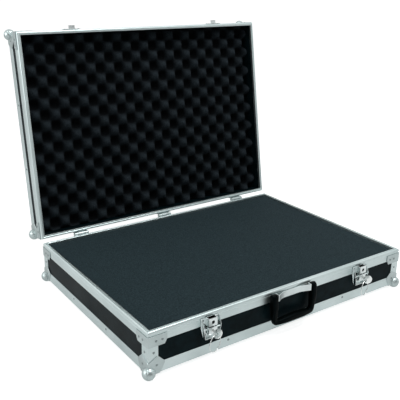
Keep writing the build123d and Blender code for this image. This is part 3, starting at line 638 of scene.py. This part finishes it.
# Each point's depth in the pits, which sets its height and also its painted shade.
sunk = slab.verts.layers.float.new("hollow")
for vert in slab.verts:
    x, y = vert.co.x - first_peak[0], vert.co.y - first_peak[1]
    across = (x * cos(askew) + y * sin(askew)) / peak_across
    along = (y * cos(askew) - x * sin(askew)) / peak_along
    wave = cos(pi * across) * cos(pi * along)
    vert[sunk] = 0.5 * (1.0 - abs(wave) ** peak_bluntness * (1.0 if wave > 0.0 else -1.0))
    vert.co.z = peak_height - pit_depth * vert[sunk]
skirt = bmesh.ops.extrude_edge_only(slab, edges=[e for e in slab.edges if e.is_boundary])["geom"]
for vert in skirt:
    if isinstance(vert, bmesh.types.BMVert):
        vert.co.z = slab_back
closed(slab)
foam = fitted("lid_foam_slab", slab, lid_place, [lid_foam_finish], "lid", ["lid_foam"])


# Hinges
# Three steel butt hinges on the back: two knuckles on the base leaf, one on the lid leaf with a heel below it
# that meets the base leaf and stops the lid, and a headed pin through all three.

def prism(outline, along, start, stop, soft=0.25, segments=1):
    """An outline carried from start to stop: (out, z) along x, (x, z) outward, or (x, out) upward."""
    spot = {
        "x": lambda a, b, c: (c, -a, b),
        "out": lambda a, b, c: (a, -c, b),
        "z": lambda a, b, c: (a, -b, c),
    }[along]
    solid = bmesh.new()
    end = solid.faces.new([solid.verts.new(spot(a, b, start)) for a, b in outline])
    carried(solid, [end], Vector(spot(0.0, 0.0, stop)) - Vector(spot(0.0, 0.0, start)))
    bmesh.ops.recalc_face_normals(solid, faces=solid.faces)
    if soft:
        rounded(solid, sharp(solid), soft, segments)
    return solid


def box(x, out, z, soft=0.25):
    """A block between two values in each direction."""
    return prism([(x[0], z[0]), (x[1], z[0]), (x[1], z[1]), (x[0], z[1])], "out", out[0], out[1], soft)


def rod(radius, out, z, start, stop, soft=0.3, segments=32):
    """A round bar along x."""
    bar = bmesh.new()
    bmesh.ops.create_cone(
        bar, cap_ends=True, segments=segments, radius1=radius, radius2=radius, depth=stop - start,
    )
    rounded(bar, sharp(bar, 60.0), soft)
    turned = Matrix.Translation(((start + stop) / 2, -out, z)) @ Matrix.Rotation(pi / 2, 4, "Y")
    bmesh.ops.transform(bar, matrix=turned, verts=bar.verts)
    return bar


leaf_half = 18.0
leaf_out = (-depth - leaf_metal, -depth)
knuckle_half, knuckle_gap, knuckle_radius = 9.0, 0.3, 5.2
pin_radius, pin_head_radius, pin_head = 3.25, 4.25, 1.0
barrel_out, barrel_height = -hinge_back, base_height


def leaf(low, high):
    """A hinge leaf on the back face, with the corners away from the barrel rounded."""
    outline = [(-leaf_half, low), (leaf_half, low), (leaf_half, high), (-leaf_half, high)]
    plate = prism(outline, "out", *leaf_out, 0.0)
    far = max(low, high, key=lambda z: abs(z - barrel_height))
    across = [e for e in plate.edges if abs(e.verts[0].co.y - e.verts[1].co.y) > 1]
    rounded(plate, [e for e in across if abs(e.verts[0].co.z - far) < 0.1], 3.5, 4)
    rounded(plate, sharp(plate, 60.0), 0.3, 1)
    return plate


def barrel(radius, start, stop, soft=0.3):
    return rod(radius, barrel_out, barrel_height, start, stop, soft)


here = [Matrix.Identity(4)]
three = [Matrix.Translation((x, 0.0, 0.0)) for x in hinge_middles]
base_leaf = gathered(
    (leaf(55.0, 83.5), here),
    (barrel(knuckle_radius, -leaf_half, -knuckle_half), here),
    (barrel(knuckle_radius, knuckle_half, leaf_half), here),
    (box((-leaf_half, -knuckle_half), leaf_out, (83.0, barrel_height)), here),
    (box((knuckle_half, leaf_half), leaf_out, (83.0, barrel_height)), here),
)
leaves = gathered((base_leaf, three))
fitted("hinge_base_leaves", leaves, case_place, [zinc_plate], "base", ["hinge_base_leaves"])
middle_half = knuckle_half - knuckle_gap
lid_leaf = gathered(
    (leaf(94.5, 123.0), [swung_open]),
    (box((-middle_half, middle_half), leaf_out, (barrel_height, 95.0)), [swung_open]),
    (barrel(knuckle_radius, -middle_half, middle_half), [swung_open]),
    (box((-middle_half, middle_half), (-492.6, -490.4), (75.0, 87.0)), here),
)
leaves = gathered((lid_leaf, three))
fitted("hinge_lid_leaves", leaves, case_place, [zinc_plate], "lid", ["hinge_lid_leaves"])
hinge_pin = gathered(
    (barrel(pin_radius, -leaf_half, leaf_half), here),
    (barrel(pin_head_radius, -leaf_half - pin_head, -leaf_half, 0.5), here),
    (barrel(pin_head_radius, leaf_half, leaf_half + pin_head, 0.5), here),
)
pins = gathered((hinge_pin, three))
fitted("hinge_pins", pins, case_place, [zinc_plate], "base", ["hinge_pins"])


# Latches
# Nickelled steel. A tapered back plate with cheeks is riveted over the rim's flange; a guard with a round eye
# covers the claw, and below it the lever hangs between the cheeks with the lock in its face. A near-black
# block inside the guard is painted shade for its slit.

latch_steel = zinc_finish("latch_steel", (0.80, 0.87, 0.87), 0.22, 0.36)
claw_steel = zinc_finish("claw_steel", (0.16, 0.18, 0.18), 0.4, 0.6)
# Near-black matte finish for painted shade: the block in each guard's slit and the keyway on each lock.
painted_shade_black = finish("painted_shade_black", (0.001, 0.001, 0.001), 0.9)
painted_shade_black.node_tree.nodes["Principled BSDF"].inputs["Specular IOR Level"].default_value = 0.05
relief(painted_shade_black, grain(painted_shade_black, 300.0), 0.0001, 0.5)
both = [Matrix.Translation((x, 0.0, 0.0)) for x in latch_middles]


def clock(centre, across, upward):
    """24 points round an ellipse in x and z, from its lower left."""
    turns = [radians(225.0 + 15.0 * step) for step in range(24)]
    return [(centre[0] + across * cos(turn), centre[1] + upward * sin(turn)) for turn in turns]


def oblong(x, z):
    """24 points round a rectangle, from its lower left corner."""
    ends = [(x[0], z[0]), (x[1], z[0]), (x[1], z[1]), (x[0], z[1])]
    return [
        tuple(a + (b - a) * step / 6 for a, b in zip(ends[side], ends[(side + 1) % 4]))
        for side in range(4)
        for step in range(6)
    ]


def holed_plate(loop, centre, radius, start, stop, soft=0.25):
    """A plate in x and z with 24 points round it and a round hole, carried outward."""
    plate = bmesh.new()
    rings = []
    for ring in (loop, clock(centre, radius, radius)):
        verts = [plate.verts.new((x, -start, z)) for x, z in ring]
        rings += [plate.edges.new((verts[at - 1], verts[at])) for at in range(len(verts))]
    bmesh.ops.bridge_loops(plate, edges=rings)
    carried(plate, plate.faces[:], (0.0, start - stop, 0.0))
    bmesh.ops.recalc_face_normals(plate, faces=plate.faces)
    rounded(plate, sharp(plate, 50.0), soft)
    return plate


plate_foot, plate_waist, plate_head = 38.0, 62.0, 82.0
foot_half, plate_half = 15.0, 21.0
cheek_taper = (plate_half - foot_half) / (plate_waist - plate_foot)
plate_outline = [
    (-foot_half, plate_foot), (foot_half, plate_foot), (plate_half, plate_waist),
    (plate_half, plate_head), (-plate_half, plate_head), (-plate_half, plate_waist),
]
cheek_outline = [
    (1.0, plate_head), (3.0, plate_head), (11.0, 64.0), (11.0, 56.0),
    (9.0, 42.0), (8.0, plate_foot), (1.0, plate_foot),
]
back_plate = prism(plate_outline, "out", 0.0, latch_metal)
cheek = prism(cheek_outline, "x", plate_half - latch_metal, plate_half)
for vert in cheek.verts:
    vert.co.x -= max(0.0, plate_waist - vert.co.z) * cheek_taper
foot = box((-foot_half, foot_half), (1.0, 8.0), (plate_foot, plate_foot + latch_metal))
mirrored = Matrix.Diagonal((-1.0, 1.0, 1.0, 1.0))
plate = gathered((back_plate, here), (cheek, here + [mirrored]), (foot, here))
plates = gathered((plate, both))
fitted("latch_plates", plates, case_place, [latch_steel], "base", ["latch_plates"])

face_half, face_out = 10.0, (11.2, 12.4)
peephole = (0.0, 74.5)
guard_rows, guard_hole = (66.6, 82.9), 3.5
guard_front = holed_plate(oblong((-face_half, face_half), guard_rows), peephole, guard_hole, *face_out, 0.3)
guard_side = box((face_half - latch_metal, face_half), (latch_metal, 12.2), guard_rows)
guard = gathered((guard_front, here), (guard_side, here + [mirrored]))
# A near-black block between the back plate and the guard: painted shade that darkens the slit above the claw.
socket = box((-8.6, 8.6), (1.3, 2.6), (66.8, 82.2))
for face in socket.faces:
    face.material_index = 1
guards = gathered((guard, both), (socket, both))
guard_steel_and_shade = [latch_steel, painted_shade_black]
fitted("latch_guards", guards, case_place, guard_steel_and_shade, "base", ["latch_covers"])

lock_height, lock_bore = 57.0, 4.25
claw_across, claw_rows, claw_hole = (-8.0, 8.0), (68.0, 81.0), 4.0
lever_rows = (50.7, 64.2)
lever_pivot_out, lever_pivot_height = 8.0, 60.0
lip_outline = [(11.2, 50.7), (12.4, 50.7), (13.6, 49.5), (12.4, 49.5)]
for side, x in zip(("left", "right"), latch_middles):
    at_latch = case_place @ Matrix.Translation((x, 0.0, 0.0))
    claw = gathered(
        (holed_plate(oblong(claw_across, claw_rows), peephole, claw_hole, 9.7, 10.9), here),
        (box(claw_across, (3.0, 10.0), (68.0, 69.2)), here),
        (box(claw_across, (3.0, 4.2), (46.0, 69.2)), here),
        (box(claw_across, (6.3, 10.0), (79.8, 81.0)), here),
        (box(claw_across, (6.3, 7.5), (77.4, 81.0)), here),
    )
    name = "latch_claw_" + side
    fitted(name, claw, at_latch, [claw_steel], "claw_" + side, [name])

    lever_face = oblong((-face_half, face_half), lever_rows)
    stub = rod(1.5, lever_pivot_out, lever_pivot_height, 9.0, plate_half)
    lever = gathered(
        (holed_plate(lever_face, (0.0, lock_height), lock_bore, *face_out, 0.3), here),
        (box((face_half - latch_metal, face_half), (5.0, 12.2), lever_rows), here + [mirrored]),
        (prism(lip_outline, "x", -face_half, face_half), here),
        (stub, here + [mirrored]),
    )
    name = "latch_lever_" + side
    fitted(name, lever, at_latch, [latch_steel], "lever_" + side, [name])


# Keepers
# A nickelled plate on the lid's rim over each latch, with an upturned hook for the claw.

keeper_half, keeper_rows = 23.0, (90.4, 102.4)
hook_across, hook_out = (-8.0, 8.0), 9.2
keeper_plate = prism(oblong((-keeper_half, keeper_half), keeper_rows)[::6], "out", 0.0, latch_metal, 0.0)
rounded(keeper_plate, [e for e in keeper_plate.edges if abs(e.verts[0].co.y - e.verts[1].co.y) > 1], 2.0, 4)
rounded(keeper_plate, sharp(keeper_plate, 60.0), 0.25, 1)
keeper = gathered(
    (keeper_plate, here),
    (box(hook_across, (0.0, hook_out), (91.4, 92.6)), here),
    (box(hook_across, (hook_out - latch_metal, hook_out), (91.4, 97.9)), here),
)
keepers = gathered((keeper, [swung_open @ place for place in both]))
fitted("latch_keepers", keepers, case_place, [latch_steel], "lid", ["latch_keepers"])


# Locks, keys and rings
# A nickelled plug turns in each lever. A flat key with an oval bow stands an eighth turned in it,
# and a sprung ring of two turns of wire hangs from the hole in the bow.

nickel = zinc_finish("nickel", (0.84, 0.88, 0.87), 0.14, 0.28)
bow_out, bow_half_out, bow_half_across, key_half = 27.1, 10.5, 10.0, 0.75
hole_out, hole_drop, hole_radius = 23.6, 4.4, 3.6
ring_radius, ring_play, ring_turn = 17.5, 0.2, 18.0
wire_radius, coil_radius, coil_pitch = 0.6, 17.7, 1.1
coil_degrees, coil_steps = 705.0, 120
at_lock = Matrix.Translation((0.0, 0.0, lock_height))
turned_key = at_lock @ Matrix.Rotation(pi / 4, 4, "Y")
bar_outward = turned_key @ Matrix.Rotation(-pi / 2, 4, "Z")
plate_outward = turned_key @ Matrix.Rotation(pi / 2, 4, "Z")
hole_shift = hole_drop * sin(pi / 4)
ring_middle = (-hole_shift, -hole_out, lock_height - hole_shift - ring_play - ring_radius)
for side, x in zip(("left", "right"), latch_middles):
    at_latch = case_place @ Matrix.Translation((x, 0.0, 0.0))
    plug = rod(4.2, 0.0, 0.0, 8.0, 13.2, 0.4)
    plug_flange = rod(5.5, 0.0, 0.0, 9.7, 10.9, 0.2)
    # The keyway: a near-black sliver on the plug's face, painted shade in place of a cut slot.
    keyway_shade = box((-0.8, 0.8), (12.9, 13.3), (-2.5, 2.5), 0.1)
    for face in keyway_shade.faces:
        face.material_index = 1
    lock = gathered((plug, [bar_outward]), (plug_flange, [bar_outward]), (keyway_shade, [turned_key]))
    name = "lock_plug_" + side
    fitted(name, lock, at_latch, [nickel, painted_shade_black], "key_" + side, [name])

    bow_outline = clock((-bow_out, 0.0), bow_half_out, bow_half_across)
    bow = holed_plate(bow_outline, (-hole_out, -hole_drop), hole_radius, -key_half, key_half, 0.35)
    blade = box((-0.7, 0.7), (9.0, 18.0), (-2.2, 2.2), 0.15)
    key = gathered((bow, [plate_outward]), (blade, [turned_key]))
    fitted("key_" + side, key, at_latch, [nickel], "key_" + side, ["key_" + side])

    wire = bmesh.new()
    bmesh.ops.create_circle(wire, segments=10, radius=wire_radius, cap_ends=True)
    coil_start = Matrix.Translation((coil_radius, 0.0, -coil_pitch / 2)) @ Matrix.Rotation(pi / 2, 4, "X")
    bmesh.ops.transform(wire, matrix=coil_start, verts=wire.verts)
    bmesh.ops.spin(
        wire, geom=wire.verts[:] + wire.edges[:] + wire.faces[:], cent=(0.0, 0.0, 0.0), axis=(0.0, 0.0, 1.0),
        dvec=(0.0, 0.0, coil_pitch / coil_steps), angle=radians(coil_degrees), steps=coil_steps,
        use_duplicate=False,
    )
    upright = Matrix.Rotation(radians(ring_turn), 4, "Z") @ Matrix.Rotation(pi / 2, 4, "X")
    bmesh.ops.transform(wire, matrix=Matrix.Translation(ring_middle) @ upright, verts=wire.verts)
    name = "key_ring_" + side
    fitted(name, wire, at_latch, [nickel], "ring_" + side, [name])


# Handle
# A bright steel strap on the rim's flange bows out to a tab and a pin at each end.
# The grip, moulded in black plastic, hangs on the pins: a bowed bar between two arms with round eyes.

def softened(points, radii, steps=8):
    """A path of flat points with an arc at each inner point, and every stretch cut into steps."""
    places = [Vector(point) for point in points]
    stops = [places[0]]
    arcs = []
    for before, corner, after, radius in zip(places, places[1:], places[2:], radii):
        arrive = (corner - before).normalized()
        leave = (after - corner).normalized()
        reach = radius * tan(arrive.angle(leave) / 2)
        first, last = corner - arrive * reach, corner + leave * reach
        shares = [step / steps for step in range(1, steps)]
        arc = [corner.lerp(first, (1.0 - t) ** 2) + (last - corner) * t ** 2 for t in shares]
        arcs.append([first, *arc, last])
        stops += [first, last]
    stops.append(places[-1])
    path = []
    for at in range(0, len(stops), 2):
        start, stop = stops[at], stops[at + 1]
        path += [start.lerp(stop, step / steps) for step in range(steps)]
        path += arcs[at // 2][:-1] if at // 2 < len(arcs) else [stop]
    return path


def draped(rows, columns, place):
    """A grid whose point (row, column) goes where place puts it."""
    sheet = bmesh.new()
    bmesh.ops.create_grid(sheet, x_segments=rows, y_segments=columns, size=1.0)
    for vert in sheet.verts:
        vert.co = place(round((vert.co.x + 1.0) / 2.0 * rows), round((vert.co.y + 1.0) / 2.0 * columns))
    return sheet


pin_out, pin_height = 9.5, 78.0
strap_metal, strap_gap = 1.5, 0.4
strap_low, strap_tall, strap_rise, strap_half = 68.1, 13.5, 3.4, 46.4
strap_levels = 4
half_path = softened([(0.0, 0.35), (20.2, 0.35), (45.65, 15.2), (45.65, 5.0)], [70.0, 1.6])
strap_path = [Vector((-x, out)) for x, out in reversed(half_path[1:])] + half_path


def on_strap(station, level):
    """A point on the strap, which stands higher towards its ends."""
    x, out = strap_path[station]
    return (x, -out, strap_low + strap_tall * level / strap_levels + strap_rise * (x / strap_half) ** 2)


strap = draped(len(strap_path) - 1, strap_levels, on_strap)
bmesh.ops.recalc_face_normals(strap, faces=strap.faces)
bmesh.ops.solidify(strap, geom=strap.faces[:], thickness=strap_metal)
middle_out = min(-vert.co.y for vert in strap.verts if abs(vert.co.x) < 10.0)
bmesh.ops.translate(strap, vec=(0.0, middle_out + strap_gap, 0.0), verts=strap.verts)
rounded(strap, sharp(strap, 60.0), 0.3, 2)
bracket = gathered((strap, here), (rod(2.5, pin_out, pin_height, 44.5, 57.0, 0.3), here + [mirrored]))
strap_steel = zinc_finish("strap_steel", (0.72, 0.80, 0.80), 0.30, 0.46)
fitted("handle_strap", bracket, case_place, [strap_steel], "base", ["handle_bracket"])

handle_plastic = finish("handle_plastic", (0.001, 0.002, 0.002), 0.38)
gloss = handle_plastic.node_tree.nodes["Principled BSDF"]
gloss.inputs["Specular IOR Level"].default_value = 0.035
gloss.inputs["Specular Tint"].default_value = (0.60, 0.88, 1.0, 1.0)
shine(handle_plastic, grain(handle_plastic, 30.0), 0.32, 0.44)
relief(handle_plastic, grain(handle_plastic, 900.0, detail=2.0), 0.0001, 0.3)

arm_outer, arm_inner, arm_start = 61.0, 47.0, 66.0
bar_low, bar_half = 17.5, 56.0
bar_top, bar_top_end, bar_crown = 32.0, 26.5, 5.5
bar_back, bar_front, bar_bow, bar_lean = 5.5, 21.5, 8.0, 0.11
eye_radius, eye_narrowing = 8.5, 1.5
back_taper, front_taper = 4.5, 3.5
squareness = 0.6
around_grip = 32
outside = softened([(0.0, bar_low), (bar_half, bar_low), (arm_outer, arm_start)], [11.0])
inside = softened([(0.0, bar_top), (arm_inner, bar_top_end), (arm_inner, arm_start)], [8.0])
inside = [Vector((x, z + bar_crown * (x / arm_inner - (x / arm_inner) ** 2))) for x, z in inside]
outside += [Vector((arm_outer, z)) for z in (70.0, 74.0, pin_height)]
inside += [Vector((arm_inner, z)) for z in (70.0, 74.0, pin_height)]
for turn in [radians(angle) for angle in (18.0, 36.0, 52.0, 66.0, 78.0)]:
    narrowed, height = eye_narrowing * sin(turn) ** 3, pin_height + eye_radius * sin(turn)
    outside.append(Vector((arm_outer - narrowed, height)))
    inside.append(Vector((arm_inner + narrowed, height)))
last = len(outside) - 1


def on_grip(station, turn):
    """A point on the rounded section between the outline's inner and outer line."""
    hand = -1.0 if station < last else 1.0
    outer, inner = outside[abs(station - last)], inside[abs(station - last)]
    x, z = (outer + inner) / 2
    rise = min(1.0, max(0.0, (z - 29.0) / (pin_height - 29.0)))
    back_out = bar_back - back_taper * rise
    bowed = bar_front - bar_bow * (x / arm_outer) ** 2 + bar_lean * (z - bar_low)
    front_out = min(bowed, bar_front - front_taper * rise)
    if z > pin_height:
        reach = (eye_radius ** 2 - (z - pin_height) ** 2) ** 0.5
        back_out, front_out = pin_out - reach, pin_out + reach
    angle = 2 * pi * turn / around_grip
    along, deep = (abs(value) ** squareness * (1 if value > 0 else -1) for value in (cos(angle), sin(angle)))
    spot = (outer + inner) / 2 + (outer - inner) / 2 * along
    out = (front_out + back_out) / 2 + (front_out - back_out) / 2 * deep
    return (hand * spot.x, -out, spot.y)


grip = draped(2 * last, around_grip, on_grip)
bmesh.ops.remove_doubles(grip, verts=grip.verts, dist=0.001)
closed(grip)
fitted("handle_grip", grip, case_place, [handle_plastic], "handle", ["handle_grip"])
